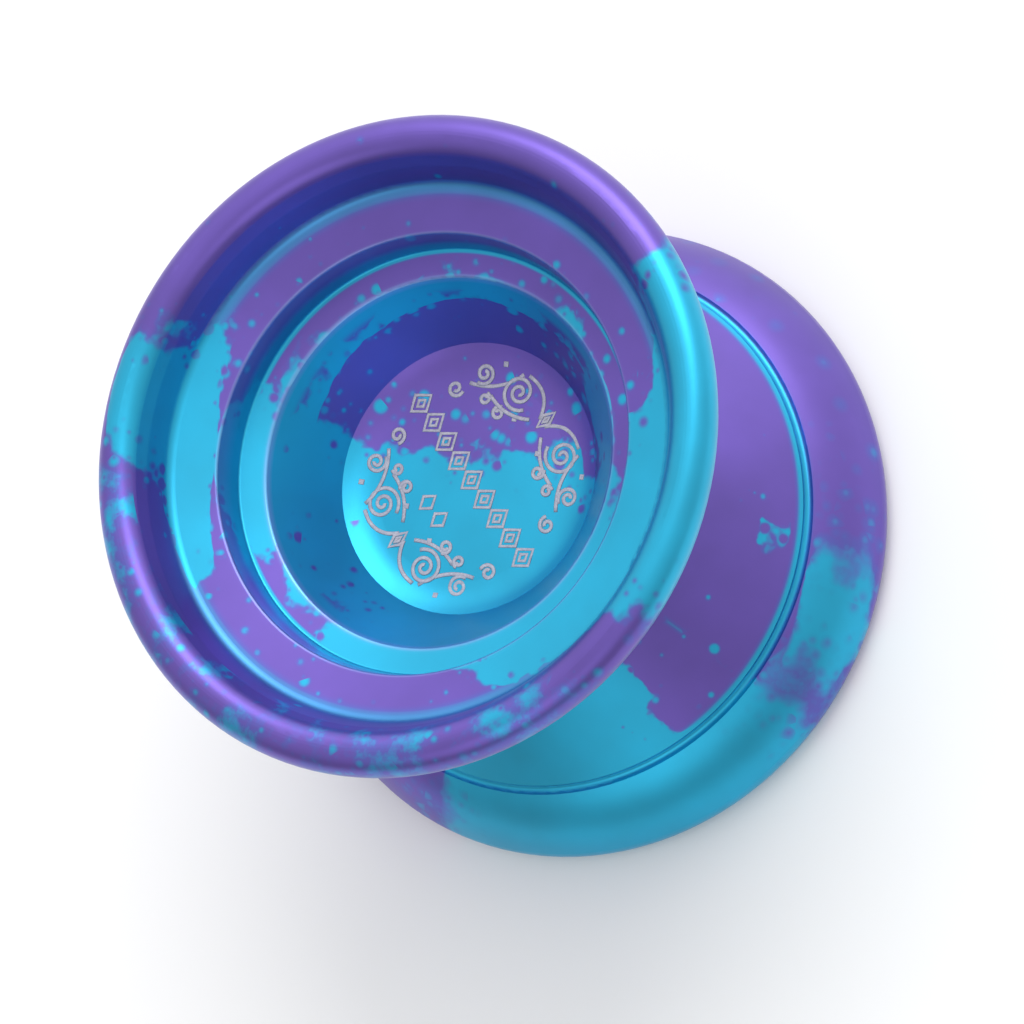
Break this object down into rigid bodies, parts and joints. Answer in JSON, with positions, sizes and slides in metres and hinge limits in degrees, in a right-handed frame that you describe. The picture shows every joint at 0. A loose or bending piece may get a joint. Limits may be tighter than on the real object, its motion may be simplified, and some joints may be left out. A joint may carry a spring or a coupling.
{
  "type": "yo-yo",
  "caption": "Wide metal yo-yo with cupped, round-rimmed halves joined by a screw axle, a ball bearing for the string and silicone response pads in the flared gap.",
  "frame": {"origin": "middle of the bearing, on the axle, half way between the two rims", "axes": "+Z along the axle from the bottom half to the top half; +X and +Y lie in the string's plane"},
  "size_m": [0.0552, 0.0552, 0.041],
  "materials": {
    "anodised_body": "bead-blasted and splash-anodised purple and cyan",
    "silicone_pad": "cast silicone",
    "axle_steel": "black oxide steel",
    "bearing_steel": "ground bearing steel",
    "ball_steel": "polished bearing steel",
    "cage_nylon": "moulded nylon",
    "shield_steel": "pressed stainless steel",
    "spring_steel": "drawn spring steel wire"
  },
  "bodies": {
    "bottom_half": {"bottom_half": "anodised_body", "bottom_response_pad": "silicone_pad", "axle": "axle_steel"},
    "bearing_inner": {"bearing_inner_race": "bearing_steel"},
    "top_half": {"top_half": "anodised_body", "top_response_pad": "silicone_pad"},
    "bearing_outer": {"bearing_outer_race": "bearing_steel", "top_bearing_shield": "shield_steel", "bottom_bearing_shield": "shield_steel", "top_snap_ring": "spring_steel", "bottom_snap_ring": "spring_steel"},
    "bearing_cage": {"bearing_ball_cage": "cage_nylon"},
    "ball_01": {"bearing_ball_01": "ball_steel"},
    "ball_02": {"bearing_ball_02": "ball_steel"},
    "ball_03": {"bearing_ball_03": "ball_steel"},
    "ball_04": {"bearing_ball_04": "ball_steel"},
    "ball_05": {"bearing_ball_05": "ball_steel"},
    "ball_06": {"bearing_ball_06": "ball_steel"},
    "ball_07": {"bearing_ball_07": "ball_steel"},
    "ball_08": {"bearing_ball_08": "ball_steel"},
    "ball_09": {"bearing_ball_09": "ball_steel"},
    "ball_10": {"bearing_ball_10": "ball_steel"}
  },
  "joints": [
    {"name": "unscrew", "type": "hinge", "parent": "bearing_inner", "child": "top_half", "pos_m": [0, 0, 0], "axis": [0, 0, 1], "range_deg": [0, 2340]},
    {"name": "bearing_lift", "type": "slide", "parent": "bottom_half", "child": "bearing_inner", "axis": [0, 0, 1], "range_m": [0, 0.00456]},
    {"name": "outer_race_spin", "type": "hinge", "parent": "bearing_inner", "child": "bearing_outer", "pos_m": [0, 0, 0], "axis": [0, 0, 1], "continuous": true},
    {"name": "cage_orbit", "type": "hinge", "parent": "bearing_inner", "child": "bearing_cage", "pos_m": [0, 0, 0], "axis": [0, 0, 1], "continuous": true},
    {"name": "ball_spin_01", "type": "hinge", "parent": "bearing_cage", "child": "ball_01", "pos_m": [0.00476, 0, 0], "axis": [0, 0, 1], "continuous": true},
    {"name": "ball_spin_02", "type": "hinge", "parent": "bearing_cage", "child": "ball_02", "pos_m": [0.00385, 0.0028, 0], "axis": [0, 0, 1], "continuous": true},
    {"name": "ball_spin_03", "type": "hinge", "parent": "bearing_cage", "child": "ball_03", "pos_m": [0.00147, 0.00453, 0], "axis": [0, 0, 1], "continuous": true},
    {"name": "ball_spin_04", "type": "hinge", "parent": "bearing_cage", "child": "ball_04", "pos_m": [-0.00147, 0.00453, 0], "axis": [0, 0, 1], "continuous": true},
    {"name": "ball_spin_05", "type": "hinge", "parent": "bearing_cage", "child": "ball_05", "pos_m": [-0.00385, 0.0028, 0], "axis": [0, 0, 1], "continuous": true},
    {"name": "ball_spin_06", "type": "hinge", "parent": "bearing_cage", "child": "ball_06", "pos_m": [-0.00476, 0, 0], "axis": [0, 0, 1], "continuous": true},
    {"name": "ball_spin_07", "type": "hinge", "parent": "bearing_cage", "child": "ball_07", "pos_m": [-0.00385, -0.0028, 0], "axis": [0, 0, 1], "continuous": true},
    {"name": "ball_spin_08", "type": "hinge", "parent": "bearing_cage", "child": "ball_08", "pos_m": [-0.00147, -0.00453, 0], "axis": [0, 0, 1], "continuous": true},
    {"name": "ball_spin_09", "type": "hinge", "parent": "bearing_cage", "child": "ball_09", "pos_m": [0.00147, -0.00453, 0], "axis": [0, 0, 1], "continuous": true},
    {"name": "ball_spin_10", "type": "hinge", "parent": "bearing_cage", "child": "ball_10", "pos_m": [0.00385, -0.0028, 0], "axis": [0, 0, 1], "continuous": true}
  ],
  "couplings": [
    {"joint": "bearing_lift", "follows": "unscrew", "m_per_rad": 0.00011141},
    {"joint": "cage_orbit", "follows": "outer_race_spin", "ratio": 0.58333},
    {"joint": "ball_spin_01", "follows": "outer_race_spin", "ratio": 2.9167},
    {"joint": "ball_spin_02", "follows": "outer_race_spin", "ratio": 2.9167},
    {"joint": "ball_spin_03", "follows": "outer_race_spin", "ratio": 2.9167},
    {"joint": "ball_spin_04", "follows": "outer_race_spin", "ratio": 2.9167},
    {"joint": "ball_spin_05", "follows": "outer_race_spin", "ratio": 2.9167},
    {"joint": "ball_spin_06", "follows": "outer_race_spin", "ratio": 2.9167},
    {"joint": "ball_spin_07", "follows": "outer_race_spin", "ratio": 2.9167},
    {"joint": "ball_spin_08", "follows": "outer_race_spin", "ratio": 2.9167},
    {"joint": "ball_spin_09", "follows": "outer_race_spin", "ratio": 2.9167},
    {"joint": "ball_spin_10", "follows": "outer_race_spin", "ratio": 2.9167}
  ]
}
